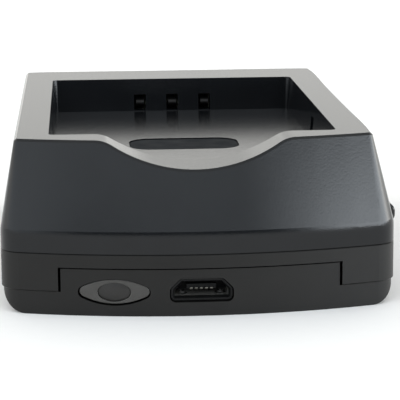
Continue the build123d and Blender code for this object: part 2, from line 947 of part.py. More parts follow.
# Link block and its pins, from the main board up to the cradle board
with BuildPart() as link_block:
    with Locations((0, link_y, board_top)):
        Box(
            link_pitch * link_count,
            link_depth,
            pedestal_top + 2 * slide_gap - board_top,
            align=(Align.CENTER, Align.CENTER, Align.MIN),
        )
        with GridLocations(link_pitch, link_pitch, link_count, 1):
            Box(
                link_blade_width + 2 * fit_gap,
                link_blade_thick + 2 * fit_gap,
                4 * total_height,
                mode=Mode.SUBTRACT,
            )
with BuildPart() as link_pins:
    with Locations((0, link_y, board_top)):
        with GridLocations(link_pitch, link_pitch, link_count, 1):
            Box(
                link_blade_width,
                link_blade_thick,
                cradle_board_under - board_top - fit_gap / 2,
                align=(Align.CENTER, Align.CENTER, Align.MIN),
            )

pieces = {
    "cradle_shell": cradle_shell,
    "blank_plate": blank_plate,
    "contact_minus": contact_minus,
    "contact_sense": contact_sense,
    "contact_plus": contact_plus,
    "contact_comb": contact_comb,
    "cradle_board": cradle_board,
    "cradle_cover": cradle_cover,
    "release_button": release_button,
    "release_spring": release_spring,
    "upper_case": upper_case,
    "lower_case": lower_case,
    "case_screws": case_screws,
    "led_bezel": led_bezel,
    "light_pipe": light_pipe,
    "status_led": status_led,
    "main_board": main_board,
    "usb_shell": usb_shell,
    "usb_insert": usb_insert,
    "usb_contacts": usb_contacts,
    "inductor": inductor,
    "bulk_capacitors": bulk_capacitors,
    "charge_controller": charge_controller,
    "microcontroller": microcontroller,
    "switch_transistor": switch_transistor,
    "rectifier_diode": rectifier_diode,
    "chip_passives": chip_passives,
    "link_block": link_block,
    "link_pins": link_pins,
}
for name, piece in pieces.items():
    piece.part.label = name
    export_step(piece.part, f"parts/{name}.step")
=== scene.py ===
"""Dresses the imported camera-battery charger and sets it in a plain studio.

All sizes are in millimetres in the frame of the solids (+Z up, front towards -Y) and go to
metres when a mesh is made.
"""

import logging
import math
from dataclasses import dataclass
from enum import Enum
from functools import cache, reduce

import bmesh
import bpy
import numpy as np
from mathutils import Matrix, Vector

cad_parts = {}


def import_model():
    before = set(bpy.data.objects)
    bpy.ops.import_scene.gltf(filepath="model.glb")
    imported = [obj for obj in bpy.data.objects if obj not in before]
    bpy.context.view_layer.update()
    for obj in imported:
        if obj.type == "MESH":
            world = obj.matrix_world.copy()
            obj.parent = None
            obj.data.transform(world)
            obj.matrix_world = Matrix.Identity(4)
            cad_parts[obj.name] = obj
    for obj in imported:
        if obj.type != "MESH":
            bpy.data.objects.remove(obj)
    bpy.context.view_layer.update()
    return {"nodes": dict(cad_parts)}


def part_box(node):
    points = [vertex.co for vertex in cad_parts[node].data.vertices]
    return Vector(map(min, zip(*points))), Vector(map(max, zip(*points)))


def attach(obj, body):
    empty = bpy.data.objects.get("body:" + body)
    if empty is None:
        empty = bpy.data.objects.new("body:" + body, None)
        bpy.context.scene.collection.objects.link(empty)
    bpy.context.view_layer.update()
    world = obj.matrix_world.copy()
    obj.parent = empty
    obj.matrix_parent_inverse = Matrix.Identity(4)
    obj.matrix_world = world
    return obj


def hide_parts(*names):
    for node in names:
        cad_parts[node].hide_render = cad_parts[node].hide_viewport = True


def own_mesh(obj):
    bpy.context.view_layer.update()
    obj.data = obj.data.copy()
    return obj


LOG = logging.getLogger("charger")
MM = 0.001
Colour = tuple[float, float, float]
Point = tuple[float, float, float]
Nodes = dict[str, bpy.types.Object]
Output = bpy.types.NodeSocket
Inputs = dict[str, object]
# The body that all built pieces ride on
CHARGER = "charger"
EVEN: Point = (1.0, 1.0, 1.0)
# Most values of a noise lie between these two
NOISE_LOW, NOISE_HIGH = 0.3, 0.7
# Points of a mesh that are nearer than this are one, in metres
WELD = 1e-7


class Axis(Enum):
    """An axis, by the name of its output on a Separate XYZ node."""

    X = "X"
    Y = "Y"
    Z = "Z"


class Brushing(Enum):
    """Which way the fine lines of a metal run, as the share of their pitch along each axis."""

    ALONG_Y = (1.0, 0.06, 1.0)
    ALONG_Z = (1.0, 1.0, 0.06)
    NONE = EVEN


class NodeSheet:
    """A cleared node tree, with a short call for adding and wiring its nodes."""

    def __init__(self, tree: bpy.types.NodeTree) -> None:
        """Takes the tree over and empties it."""
        self.tree = tree
        tree.nodes.clear()

    def add(self, kind: str, inputs: dict | None = None, **settings: object) -> bpy.types.Node:
        """Adds one node.

        Args:
            kind: The node's class name without its "ShaderNode" start.
            inputs: Socket name or number, to a value or to the output that is wired into it.
            settings: Properties of the node itself.

        Returns:
            The new node.
        """
        node = self.tree.nodes.new("ShaderNode" + kind)
        for name, value in settings.items():
            setattr(node, name, value)
        for socket, value in (inputs or {}).items():
            if isinstance(value, Output):
                self.tree.links.new(value, node.inputs[socket])
            else:
                node.inputs[socket].default_value = value
        return node

    def place(self) -> Output:
        """Returns the Object coordinates, in metres."""
        return self.add("TexCoord").outputs["Object"]

    def along(self, axis: Axis, way: Output | None = None) -> Output:
        """Returns one part of a vector, by default of the Object coordinates."""
        return self.add("SeparateXYZ", {0: way or self.place()}).outputs[axis.value]

    def sums(self, operation: str, *terms: object) -> Output:
        """Adds a Math node of that operation on up to three terms and returns its value."""
        return self.add("Math", dict(enumerate(terms)), operation=operation).outputs[0]

    def total(self, *terms: object) -> Output:
        """Adds Math nodes that sum up all terms, two at a time, and returns the sum."""
        return reduce(lambda first, second: self.sums("ADD", first, second), terms)

    def noise(self, size: float, detail: float = 2.0, stretch: Point = EVEN) -> Output:
        """Adds a noise on Object coordinates.

        Args:
            size: Size of one blotch, in millimetres.
            detail: How many finer layers it has.
            stretch: Share of that pitch along each axis; a small share draws lines along it.

        Returns:
            The noise's value, about 0.5 on average.
        """
        place = self.place()
        if stretch != EVEN:
            place = self.add("Mapping", {"Vector": place, "Scale": stretch}).outputs[0]
        pattern = {"Vector": place, "Scale": 1.0 / (size * MM), "Detail": detail}
        return self.add("TexNoise", pattern).outputs[0]

    def ramp(
        self, value: Output, start: float, end: float, low: float = 0.0, high: float = 1.0
    ) -> Output:
        """Adds an S-shaped rise of a value's range start-end to low-high and returns the result."""
        ends = {"Value": value, "From Min": start, "From Max": end, "To Min": low, "To Max": high}
        return self.add("MapRange", ends, interpolation_type="SMOOTHSTEP").outputs[0]

    def spread(self, value: Output, low: float, high: float) -> Output:
        """Adds a range that takes a noise's usual values to low-high and returns the result."""
        noise = {"Value": value, "From Min": NOISE_LOW, "From Max": NOISE_HIGH}
        return self.add("MapRange", {**noise, "To Min": low, "To Max": high}).outputs[0]

    def blend(self, share: Output, first: object, second: object) -> Output:
        """Adds a mix from the first colour to the second by a share, and returns the result."""
        colours = [c if isinstance(c, Output) else (*c, 1.0) for c in (first, second)]
        return self.add("Mix", {0: share, 6: colours[0], 7: colours[1]}, data_type="RGBA").outputs[2]

    def relief(self, height: Output, depth: float) -> Output:
        """Adds a bump of that depth in millimetres and returns its normal."""
        return self.add("Bump", {"Height": height, "Strength": 1.0, "Distance": depth * MM}).outputs[0]


def shade(colour: Colour, share: float) -> Colour:
    """Returns a colour with each of its channels times a share."""
    return tuple(channel * share for channel in colour)


@dataclass(frozen=True)
class Finish:
    """What all finishes have in common.

    Attributes:
        name: The material's name.
        colour: Linear base colour.
        roughness: Middle roughness.
    """

    name: str
    colour: Colour
    roughness: float

    def wire(self, sheet: NodeSheet) -> Inputs:
        """Wires the finish up on a sheet and returns the inputs of its shader."""
        raise NotImplementedError

    def rub(self, sheet: NodeSheet, grain: Output, swing: float = 0.15) -> Output:
        """Returns a roughness that follows a grain, up and down by a share of the middle one."""
        return sheet.spread(grain, self.roughness * (1 - swing), self.roughness * (1 + swing))

    def cloudy(self, sheet: NodeSheet, size: float, swing: float, detail: float = 3.0) -> Output:
        """Returns the colour, wandering by a share in clouds of that size in millimetres."""
        share = sheet.spread(sheet.noise(size, detail), 0.0, 1.0)
        return sheet.blend(share, shade(self.colour, 1 - swing), shade(self.colour, 1 + swing))

    @cache
    def material(self) -> bpy.types.Material:
        """Makes the finish's material, on the first call only.

        Returns:
            The material.
        """
        made = bpy.data.materials.new(self.name)
        made.use_nodes = True
        made.diffuse_color = (*self.colour, 1.0)
        sheet = NodeSheet(made.node_tree)
        shader = sheet.add("BsdfPrincipled", self.wire(sheet))
        sheet.add("OutputMaterial", {"Surface": shader.outputs[0]})
        return made

    def dress(self, *things: bpy.types.Object) -> None:
        """Puts the finish on objects as their only material.

        Args:
            things: The objects.
        """
        for thing in things:
            thing.data.materials.clear()
            thing.data.materials.append(self.material())
            LOG.info("finish %s on %s", self.name, thing.name)


@dataclass(frozen=True)
class MouldedPlastic(Finish):
    """Injection-moulded plastic with the fine grain of a spark-eroded mould.

    Attributes:
        ior: Refractive index.
        grain: Size of the grain.
        depth: Depth of the grain.
        mottle: How far the colour wanders, as a share.
        cloud: Size of the clouds that it wanders in.
    """

    ior: float = 1.45
    grain: float = 0.22
    depth: float = 0.0012
    mottle: float = 0.12
    cloud: float = 6.0

    def wire(self, sheet: NodeSheet) -> Inputs:
        """Wires up flow mottling, grain relief and a roughness that follows the grain.

        Args:
            sheet: The material's sheet.

        Returns:
            The inputs of the shader.
        """
        grain = sheet.noise(self.grain)
        return {
            "Base Color": self.cloudy(sheet, self.cloud, self.mottle),
            "Roughness": self.rub(sheet, grain),
            "IOR": self.ior,
            "Normal": sheet.relief(self.texture(sheet, grain), self.depth),
        }

    def texture(self, sheet: NodeSheet, grain: Output) -> Output:
        """Returns the height of the grain, here the grain itself."""
        return grain


@dataclass(frozen=True)
class CradlePlastic(MouldedPlastic):
    """The cradle's plastic: grained outside, duller on the rim, smoother on the floor of the bay.

    Attributes:
        rim_roughness: Middle roughness of the rim and the notch.
        floor: Height of the bay's floor.
        floor_roughness: Middle roughness there.
        floor_grain: Share of the grain's depth that is left there.
        floor_reach: How far above its height a face still counts as the floor.
        flat: Z of the normal from which a face starts to count as level, and does fully.
    """

    rim_roughness: float = 0.25
    floor: float = 17.05
    floor_roughness: float = 0.21
    floor_grain: float = 0.3
    floor_reach: float = 0.6
    flat: tuple[float, float] = (0.9, 0.97)

    def level(self, sheet: NodeSheet) -> Output:
        """Returns 1 on level faces and 0 on steep ones."""
        return sheet.ramp(sheet.along(Axis.Z, sheet.add("TexCoord").outputs["Normal"]), *self.flat)

    def on_floor(self, sheet: NodeSheet) -> Output:
        """Returns 1 below a height just over the floor, and 0 above."""
        return sheet.sums("LESS_THAN", sheet.along(Axis.Z), (self.floor + self.floor_reach) * MM)

    def rub(self, sheet: NodeSheet, grain: Output, swing: float = 0.15) -> Output:
        """Works out the roughness: the grain's, raised on level faces to the floor's or the rim's.

        Args:
            sheet: The material's sheet.
            grain: The even grain.
            swing: How far the roughness follows the grain, as a share.

        Returns:
            The roughness.
        """
        lower, higher = self.floor_roughness - self.roughness, self.rim_roughness - self.roughness
        extra = sheet.sums("MULTIPLY_ADD", self.on_floor(sheet), lower - higher, higher)
        return sheet.sums("MULTIPLY_ADD", self.level(sheet), extra, super().rub(sheet, grain, swing))

    def texture(self, sheet: NodeSheet, grain: Output) -> Output:
        """Works out the height of the grain, which is shallower on the floor.

        Args:
            sheet: The material's sheet.
            grain: The even grain.

        Returns:
            The height.
        """
        floor = sheet.sums("MULTIPLY", self.level(sheet), self.on_floor(sheet))
        share = sheet.sums("MULTIPLY_ADD", floor, self.floor_grain - 1.0, 1.0)
        return sheet.sums("MULTIPLY", grain, share)


@dataclass(frozen=True)
class SmokedPlastic(Finish):
    """Clear plastic with smoke pigment: cloudy in depth, polished on the face.

    Attributes:
        ior: Refractive index.
        cloud: Size of the clouds.
        mottle: How far the colour wanders in them, as a share.
        glow: How much light scatters below the face.
        scatter: How far each colour scatters, as a share of reach.
        reach: The furthest that light scatters.
        haze: Size of the dull spots on the face.
        ripple: Depth of the flow ripples.
    """

    ior: float = 1.46
    cloud: float = 0.9
    mottle: float = 0.1
    glow: float = 0.15
    scatter: Point = (0.3, 0.3, 0.28)
    reach: float = 0.5
    # haze: Size of the less glossy spots on the face.
    haze: float = 0.3
    ripple: float = 0.002

    def wire(self, sheet: NodeSheet) -> Inputs:
        """Wires up cloudy colour, a little scatter below the face and faint flow ripples.

        Args:
            sheet: The material's sheet.

        Returns:
            The inputs of the shader.
        """
        return {
            "Base Color": self.cloudy(sheet, self.cloud, self.mottle),
            "Roughness": self.rub(sheet, sheet.noise(self.haze), swing=0.2),
            "IOR": self.ior,
            "Subsurface Weight": self.glow,
            "Subsurface Radius": self.scatter,
            "Subsurface Scale": self.reach * MM,
            "Normal": sheet.relief(sheet.noise(self.cloud, detail=3.0), self.ripple),
        }


@dataclass(frozen=True)
class SatinPlate(Finish):
    """A thin plate with a satin, slightly rippled lacquer.

    Attributes:
        gloss: Specular level.
        speck: Size of the specks in its colour.
        mottle: How far the colour wanders, as a share.
        haze: Size of the duller spots.
        ripple: Depth of the ripple.
    """

    gloss: float = 0.03
    speck: float = 0.12
    mottle: float = 0.18
    haze: float = 2.5
    ripple: float = 0.001

    def wire(self, sheet: NodeSheet) -> Inputs:
        """Wires up speckled colour, a cloudy roughness and a shallow ripple.

        Args:
            sheet: The material's sheet.

        Returns:
            The inputs of the shader.
        """
        return {
            "Base Color": self.cloudy(sheet, self.speck, self.mottle, detail=1.0),
            "Roughness": self.rub(sheet, sheet.noise(self.haze), swing=0.1),
            "Specular IOR Level": self.gloss,
            "Normal": sheet.relief(sheet.noise(self.speck, detail=1.0), self.ripple),
        }


@dataclass(frozen=True)
class PlatedMetal(Finish):
    """Plated, stamped or drawn metal with fine lines and cloudy plating.

    Attributes:
        lines: Which way the lines run.
        pitch: Pitch of the lines.
        depth: Depth of the lines.
        cloud: Size of the plating's clouds.
        mottle: How far the colour wanders in them, as a share.
    """

    lines: Brushing = Brushing.NONE
    pitch: float = 0.08
    depth: float = 0.0006
    cloud: float = 1.8
    mottle: float = 0.12

    def wire(self, sheet: NodeSheet) -> Inputs:
        """Wires up cloudy plating over fine lines that lift the roughness.

        Args:
            sheet: The material's sheet.

        Returns:
            The inputs of the shader.
        """
        line = sheet.noise(self.pitch, stretch=self.lines.value)
        return {
            "Base Color": self.cloudy(sheet, self.cloud, self.mottle),
            "Metallic": 1.0,
            "Roughness": self.rub(sheet, line, swing=0.32),
            "Normal": sheet.relief(line, self.depth),
        }


@dataclass(frozen=True)
class SocketMetal(PlatedMetal):
    """Plating in its own colour inside the socket, with painted shade on the cut edge of its mouth.

    Attributes:
        edge_shade: Painted shade colour on the cut edge.
        edge: How far back on Y the cut edge reaches.
        fade: Over what length the painted shade gives way to the plating's own colour.
    """

    edge_shade: Colour = (0.022, 0.022, 0.022)
    edge: float = -34.7
    fade: float = 0.25

    def cloudy(self, sheet: NodeSheet, size: float, swing: float, detail: float = 3.0) -> Output:
        """Works out the plating's clouds, with painted shade at the cut edge.

        Args:
            sheet: The material's sheet.
            size: Size of the clouds.
            swing: How far the colour wanders, as a share.
            detail: How many finer layers the clouds have.

        Returns:
            The colour.
        """
        bright = super().cloudy(sheet, size, swing, detail)
        # Painted shade: the plating is coloured dark at the mouth's cut edge and turns to its own
        # colour further in
        inside = sheet.ramp(sheet.along(Axis.Y), self.edge * MM, (self.edge + self.fade) * MM)
        return sheet.blend(inside, self.edge_shade, bright)


@dataclass(frozen=True)
class SolderMask(Finish):
    """A printed board: lacquer over copper runs on glass weave.

    Attributes:
        run: The lighter colour over the copper.
        pitch: Pitch of the runs.
        stagger: Shift of every second row of runs, as a share.
        fade: Share of the lacquer's colour in every second field.
        copper: How far the runs stand up.
        weave: Size of the weave.
    """

    run: Colour = (0.03, 0.17, 0.07)
    pitch: float = 1.6
    stagger: float = 0.37
    fade: float = 0.9
    copper: float = 0.03
    weave: float = 0.15

    def wire(self, sheet: NodeSheet) -> Inputs:
        """Wires up staggered runs as the joints of a brick pattern, over a fine weave.

        Args:
            sheet: The material's sheet.

        Returns:
            The inputs of the shader.
        """
        bricks = {
            "Vector": sheet.place(), "Scale": 1.0 / (self.pitch * MM),
            "Mortar Size": 0.12, "Mortar Smooth": 0.1, "Brick Width": 3.2, "Row Height": 0.55,
            "Color1": (*self.colour, 1.0),
            "Color2": (*shade(self.colour, self.fade), 1.0),
            "Mortar": (*self.run, 1.0),
        }
        runs = sheet.add("TexBrick", bricks, offset=self.stagger)
        return {
            "Base Color": runs.outputs["Color"],
            "Roughness": self.rub(sheet, sheet.noise(self.weave, detail=1.0)),
            "Normal": sheet.relief(runs.outputs["Fac"], self.copper),
        }


@dataclass(frozen=True)
class FiredGrain(Finish):
    """Sintered or fired stuff, and moulded epoxy: pale and dark specks in a dull body.

    Attributes:
        speck: Colour of the specks.
        size: Size of the specks.
        rim: Distance from a speck's middle where it starts to fade, and is gone, as a share.
        skin: Depth of the rough skin.
    """

    speck: Colour = (0.1, 0.1, 0.1)
    size: float = 0.18
    rim: tuple[float, float] = (0.05, 0.5)
    skin: float = 0.002

    def wire(self, sheet: NodeSheet) -> Inputs:
        """Wires up a speck in the middle of each cell, and a rough skin.

        Args:
            sheet: The material's sheet.

        Returns:
            The inputs of the shader.
        """
        cells = sheet.add("TexVoronoi", {"Vector": sheet.place(), "Scale": 1.0 / (self.size * MM)})
        share = sheet.ramp(cells.outputs["Distance"], *self.rim)
        crust = sheet.noise(self.size)
        return {
            "Base Color": sheet.blend(share, self.speck, self.colour),
            "Roughness": self.rub(sheet, crust),
            "Normal": sheet.relief(crust, self.skin),
        }


@dataclass(frozen=True)
class TippedPart(FiredGrain):
    """A part of two stuffs: its body, and the ends that lie further than half off its middle.

    Attributes:
        tip: Colour of the ends.
        axis: The axis that half is measured along.
        middle: Middle of the body on that axis.
        half: Half of the body's length.
        fold: Distance of two like bodies from that middle, or 0 for one body on it.
        metal: Metallic value of the body and of the ends.
        border: Width of the border between them.
    """

    tip: Colour = (0.62, 0.62, 0.60)
    axis: Axis = Axis.Y
    middle: float = 0.0
    half: float = 1.0
    fold: float = 0.0
    metal: tuple[float, float] = (0.0, 1.0)
    border: float = 0.01

    def wire(self, sheet: NodeSheet) -> Inputs:
        """Wires up both stuffs on either side of the border.

        Args:
            sheet: The material's sheet.

        Returns:
            The inputs of the shader.
        """
        off = sheet.sums("ABSOLUTE", sheet.sums("SUBTRACT", sheet.along(self.axis), self.middle * MM))
        if self.fold:
            off = sheet.sums("ABSOLUTE", sheet.sums("SUBTRACT", off, self.fold * MM))
        edge = (self.half * MM, (self.half + self.border) * MM)
        inputs = super().wire(sheet)
        inputs["Base Color"] = sheet.blend(sheet.ramp(off, *edge), inputs["Base Color"], self.tip)
        inputs["Metallic"] = sheet.ramp(off, *edge, *self.metal)
        return inputs


CRADLE_PLASTIC = CradlePlastic(
    "charcoal_cradle", (0.0058, 0.0064, 0.0074), 0.15, ior=1.38, depth=0.0055,
)
CASE_PLASTIC = MouldedPlastic("charcoal_case", (0.0064, 0.0060, 0.0054), 0.42, ior=1.37, depth=0.0035)
BUTTON_PLASTIC = MouldedPlastic("charcoal_button", (0.0064, 0.0070, 0.0076), 0.25, ior=1.42)
COVER_PLASTIC = MouldedPlastic("charcoal_cover", (0.009, 0.0092, 0.0096), 0.40, depth=0.001)
SOCKET_BLACK = MouldedPlastic(
    "socket_moulding", (0.006, 0.006, 0.006), 0.5, ior=1.22, grain=0.12, depth=0.0008,
)
NATURAL_NYLON = MouldedPlastic("nylon_moulding", (0.60, 0.58, 0.50), 0.42, grain=0.35, mottle=0.05)
LAMP_WHITE = SmokedPlastic("lamp_epoxy", (0.75, 0.75, 0.70), 0.3, glow=0.4)
WINDOW_GREY = SmokedPlastic("window_smoke", (0.045, 0.0425, 0.039), 0.38)
# Painted shade: the core is coloured darker than the window, standing in for the shaded hollow seen
# through it
SHADED_CORE_SMOKE = SmokedPlastic("core_smoke_painted_shade", (0.0148, 0.0134, 0.012), 0.38)
PLATE_NAVY = SatinPlate("plate_lacquer", (0.0078, 0.0098, 0.0124), 0.65)
# The cut edge of this plating carries painted shade, set in SocketMetal
SOCKET_METAL = SocketMetal("socket_nickel", (0.34, 0.33, 0.31), 0.55, Brushing.ALONG_Y)
SOCKET_TIP = PlatedMetal("socket_tip_plating", (0.20, 0.19, 0.165), 0.5, Brushing.ALONG_Y)
# Painted shade: the latch dimples are coloured far darker than the shell's plating they belong to
SHADED_LATCH_METAL = PlatedMetal("latch_metal_painted_shade", (0.055, 0.054, 0.052), 0.5)
LINK_GOLD = PlatedMetal("link_plating", (0.83, 0.62, 0.25), 0.28, Brushing.ALONG_Z)
# Painted shade: the battery contacts are coloured near black, as if in the shade at the back of the
# bay
SHADED_CONTACT_PLATING = PlatedMetal("contact_plating_painted_shade", (0.024, 0.0235, 0.023), 0.5, Brushing.ALONG_Z)
SCREW_STEEL = PlatedMetal("screw_zinc", (0.46, 0.46, 0.47), 0.36)
SPRING_STEEL = PlatedMetal("spring_strip", (0.52, 0.52, 0.53), 0.26, Brushing.ALONG_Y)
BOARD_GREEN = SolderMask("board_lacquer", (0.014, 0.10, 0.036), 0.38)
FERRITE = FiredGrain("ferrite_body", (0.045, 0.045, 0.047), 0.6, speck=(0.09, 0.09, 0.095))
CAPACITOR_CAN = TippedPart(
    "capacitor_can", (0.70, 0.71, 0.72), 0.32, speck=(0.66, 0.67, 0.68), size=0.3,
    tip=(0.012, 0.012, 0.013), axis=Axis.Z, middle=10.0, half=3.86, metal=(1.0, 0.0),
)
PASSIVES = TippedPart(
    "passive_ceramic", (0.38, 0.27, 0.17), 0.5, speck=(0.52, 0.42, 0.30), size=0.08,
    axis=Axis.Y, middle=-8.0, half=0.5, fold=1.12,
)


def chip_epoxy(name: str, axis: Axis, middle: float, half: float) -> TippedPart:
    """Makes the finish of a moulded chip with tinned leads.

    Args:
        name: The material's name.
        axis: The axis that the leads stick out along.
        middle: Middle of the chip on that axis.
        half: How far off that middle the leads start.

    Returns:
        The finish.
    """
    return TippedPart(
        name, (0.017, 0.017, 0.019), 0.52, speck=(0.035, 0.035, 0.037), size=0.1,
        axis=axis, middle=middle, half=half,
    )


CHIP_HALF = 1.955
CONTROLLER_EPOXY = chip_epoxy("controller_epoxy", Axis.Y, -16.0, CHIP_HALF)
LOGIC_EPOXY = chip_epoxy("logic_epoxy", Axis.Y, 24.0, CHIP_HALF)
SWITCH_EPOXY = chip_epoxy("switch_epoxy", Axis.Y, -24.0, CHIP_HALF)
DIODE_EPOXY = chip_epoxy("diode_epoxy", Axis.X, -7.0, 2.205)


def wrap(columns: int) -> np.ndarray:
    """Returns angles evenly round one turn, half a step off the axes, without a repeat at the end."""
    return (np.arange(columns) + 0.5) * 2 * np.pi / columns


def skin(name: str, *grids: np.ndarray, ring: bool = False) -> bpy.types.Object:
    """Makes one object of grids of points whose columns run round a closed loop.

    Args:
        name: The piece's name.
        grids: Points in millimetres, rows x columns x 3. Rows that are one point become poles.
        ring: True where the last row joins the first, as on a ring.

    Returns:
        The smooth-shaded object, at the origin.
    """
    faces = []
    start = 0
    for grid in grids:
        rows, columns, _ = grid.shape
        row = np.arange(rows if ring else rows - 1)[:, None]
        column = np.arange(columns)[None, :]
        beside, below = (column + 1) % columns, (row + 1) % rows
        corners = (
            row * columns + column, row * columns + beside,
            below * columns + beside, below * columns + column,
        )
        faces.append(start + np.stack(corners, axis=-1).reshape(-1, 4))
        start += rows * columns
    points = np.concatenate([grid.reshape(-1, 3) for grid in grids]) * MM
    mesh = bpy.data.meshes.new(name)
    mesh.from_pydata(points.tolist(), [], np.concatenate(faces).tolist())
    welded = bmesh.new()
    welded.from_mesh(mesh)
    bmesh.ops.remove_doubles(welded, verts=welded.verts, dist=WELD)
    bmesh.ops.recalc_face_normals(welded, faces=welded.faces)
    welded.to_mesh(mesh)
    welded.free()
    mesh.shade_smooth()
    thing = bpy.data.objects.new(name, mesh)
    bpy.context.scene.collection.objects.link(thing)
    return thing


def span(node: str) -> tuple[np.ndarray, np.ndarray]:
    """Returns the middle and the size of a solid's box, in millimetres."""
    low, high = (np.array(corner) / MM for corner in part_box(node))
    return (low + high) / 2, high - low


def seat(thing: bpy.types.Object, slot: str, *nodes: str) -> None:
    """Sets a piece on the charger's body.

    Args:
        thing: The piece.
        slot: Its slot in the record; not used.
        nodes: Names of the solids that it stands for, if any.
    """
    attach(thing, CHARGER)
    if nodes:
        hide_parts(*nodes)
    LOG.info("piece %s rides on %s, for %s", thing.name, CHARGER, ", ".join(nodes) or "nothing")


def strip(
    path: np.ndarray, across: Point, width: float, thick: float, blunt: int = 0, columns: int = 24
) -> np.ndarray:
    """A flat strip with rounded edges carried along a path.

    The profile is a superellipse of the fourth power, width along across and thick along the
    normal of the path. Over the last few rows at the far end it narrows as a half circle does, and
    each end closes in a point on the path.

    Args:
        path: Points of the middle line, rows x 3.
        across: Unit vector of the strip's width, square to the path.
        width: Full width.
        thick: Full thickness.
        blunt: How many rows at the far end narrow to a round tip, or 0.
        columns: Points round the profile.

    Returns:
        The grid of points.
    """
    side = np.array(across)
    tangent = np.gradient(path, axis=0)
    normal = np.cross(tangent / np.linalg.norm(tangent, axis=1, keepdims=True), side)
    angle = wrap(columns)
    u = np.sign(np.cos(angle)) * np.sqrt(np.abs(np.cos(angle))) * width / 2
    v = np.sign(np.sin(angle)) * np.sqrt(np.abs(np.sin(angle))) * thick / 2
    narrow = np.ones(len(path))
    if blunt:
        narrow[-blunt:] = np.sqrt(1 - (np.arange(blunt) / blunt) ** 2)
    body = path[:, None] + (narrow[:, None] * u)[..., None] * side + v[None, :, None] * normal[:, None]
    first = np.broadcast_to(path[0], (1, columns, 3))
    last = np.broadcast_to(path[-1], (1, columns, 3))
    return np.concatenate([first, body, last])


@dataclass(frozen=True)
class Oval:
    """A lengthways oval of four tangent arcs.

    Attributes:
        width: Full width.
        height: Full height.
        nose: Radius of the two end arcs.
    """

    width: float
    height: float
    nose: float

    def points(self, angle: np.ndarray, grow: float = 0.0) -> np.ndarray:
        """Points of the oval by the angle of its outward normal.

        An end arc's middle is on the long axis, a nose inside the end. A long arc's middle is on
        the short axis, so far off that the line through both middles is the tangent point's normal.

        Args:
            angle: Angles of the normal, in radians.
            grow: How far the oval is grown along its normals.

        Returns:
            One (x, z) row for each angle.
        """
        middle = self.width / 2 - self.nose
        half = self.height / 2
        long_radius = (middle ** 2 + half ** 2 - self.nose ** 2) / (2 * (half - self.nose))
        drop = long_radius - half
        normal = np.stack([np.cos(angle), np.sin(angle)], axis=-1)
        flat = np.zeros_like(angle)
        at_end = np.abs(normal[:, 1]) * middle < drop * np.abs(normal[:, 0])
        end = np.stack([np.sign(normal[:, 0]) * middle, flat], axis=-1) + self.nose * normal
        side = np.stack([flat, -np.sign(normal[:, 1]) * drop], axis=-1) + long_radius * normal
        return np.where(at_end[:, None], end, side) + grow * normal


@dataclass(frozen=True)
class Oblong:
    """A rectangle with round corners.

    Attributes:
        width: Size along X.
        length: Size along Y.
        corner: Radius of the corners.
    """

    width: float
    length: float
    corner: float

    def points(self, angle: np.ndarray, grow: float = 0.0) -> np.ndarray:
        """Points by the angle of the outward normal: a corner's middle plus its radius along it.

        Args:
            angle: Angles of the normal, in radians.
            grow: How far the oblong is grown along its normals.

        Returns:
            One (x, y) row for each angle.
        """
        normal = np.stack([np.cos(angle), np.sin(angle)], axis=-1)
        middle = np.array([self.width / 2 - self.corner, self.length / 2 - self.corner])
        return np.sign(normal) * middle + (self.corner + grow) * normal


class Assembly:
    """A sub-assembly: solids that are dressed where they are, and pieces that are built."""

    def dress(self, nodes: Nodes) -> None:
        """Gives the sub-assembly's solids their finishes."""
        raise NotImplementedError

    def build(self) -> None:
        """Builds the pieces that the solids lack; by default there are none."""


@dataclass
class Cradle(Assembly):
    """The battery cradle: its shell, cover and board, the three contacts and the bare plate.

    Attributes:
        corner: Radius of the plate's corners.
        crown: How far the plate's crown stands above its edge.
        edge: Radius of the plate's rounded edge.
        columns: Points round the plate.
        rows: Rows of points up its crown, and round its edge.
    """

    corner: float = 2.94
    crown: float = 0.03
    edge: float = 0.10
    columns: int = 64
    rows: int = 6

    def dress(self, nodes: Nodes) -> None:
        """Dresses the shell, cover, board, comb, contacts and the plain plate solid.

        Args:
            nodes: The solids by name.
        """
        CRADLE_PLASTIC.dress(nodes["cradle_shell"])
        COVER_PLASTIC.dress(nodes["cradle_cover"])
        BOARD_GREEN.dress(nodes["cradle_board"])
        NATURAL_NYLON.dress(nodes["contact_comb"])
        SHADED_CONTACT_PLATING.dress(nodes["contact_minus"], nodes["contact_sense"], nodes["contact_plus"])
        PLATE_NAVY.dress(nodes["blank_plate"])

    def build(self) -> None:
        """Builds the crowned plate.

        Rows of shrunken outlines rise to the middle as a share squared, a quarter circle rounds
        the edge, and the wall goes straight down to a flat underside.
        """
        middle, size = span("blank_plate")
        outline = Oblong(size[0], size[1], self.corner)
        under, peak = middle[2] - size[2] / 2, middle[2] + size[2] / 2
        angle = wrap(self.columns)
        share = np.linspace(0.0, 1.0, self.rows)
        bend = np.linspace(0, np.pi / 2, self.rows)[1:]
        top = outline.points(angle, -self.edge)[None] * share[:, None, None]
        rim = np.stack([outline.points(angle, self.edge * (math.sin(turn) - 1)) for turn in bend])
        foot = np.stack([outline.points(angle), np.zeros((self.columns, 2))])
        flat = np.concatenate([top, rim, foot]) + middle[:2]
        level = np.concatenate([
            peak - self.crown * share ** 2,
            peak - self.crown - self.edge * (1 - np.cos(bend)),
            [under, under],
        ])
        height = np.broadcast_to(level[:, None], flat.shape[:2])
        plate = skin("bare_plate", np.concatenate([flat, height[..., None]], axis=-1))
        PLATE_NAVY.dress(plate)
        seat(plate, "plate_black", "blank_plate")


